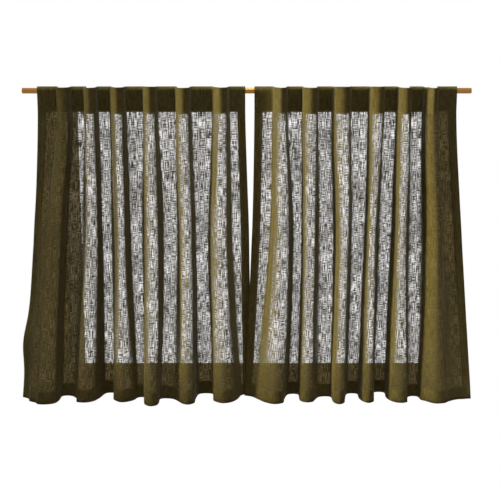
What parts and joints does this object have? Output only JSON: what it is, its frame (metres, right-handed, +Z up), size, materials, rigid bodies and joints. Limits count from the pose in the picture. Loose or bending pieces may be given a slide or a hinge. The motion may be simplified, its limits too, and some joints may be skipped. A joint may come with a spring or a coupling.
{
  "type": "pair of cafe curtain panels on a curtain rod",
  "caption": "Pair of sheer linen cafe curtain panels with hidden back tabs, hanging in soft folds on a thin plain brass rod.",
  "frame": {"origin": "the middle of the rod, on its axis", "axes": "+X along the rod to the right as seen from the room, -Y out of the front of the cloth, +Z up"},
  "size_m": [1.3165, 0.1022, 0.9187],
  "materials": {
    "linen": "matte, loosely woven slubby linen, see-through in one layer and dense in the heading and hems",
    "brass": "brushed satin"
  },
  "bodies": {
    "root": {"rod": "brass", "panel_left": "linen", "panel_right": "linen", "tab_left_1": "linen", "tab_left_2": "linen", "tab_left_3": "linen", "tab_left_4": "linen", "tab_left_5": "linen", "tab_left_6": "linen", "tab_left_7": "linen", "tab_right_1": "linen", "tab_right_2": "linen", "tab_right_3": "linen", "tab_right_4": "linen", "tab_right_5": "linen", "tab_right_6": "linen", "tab_right_7": "linen"}
  },
  "joints": []
}
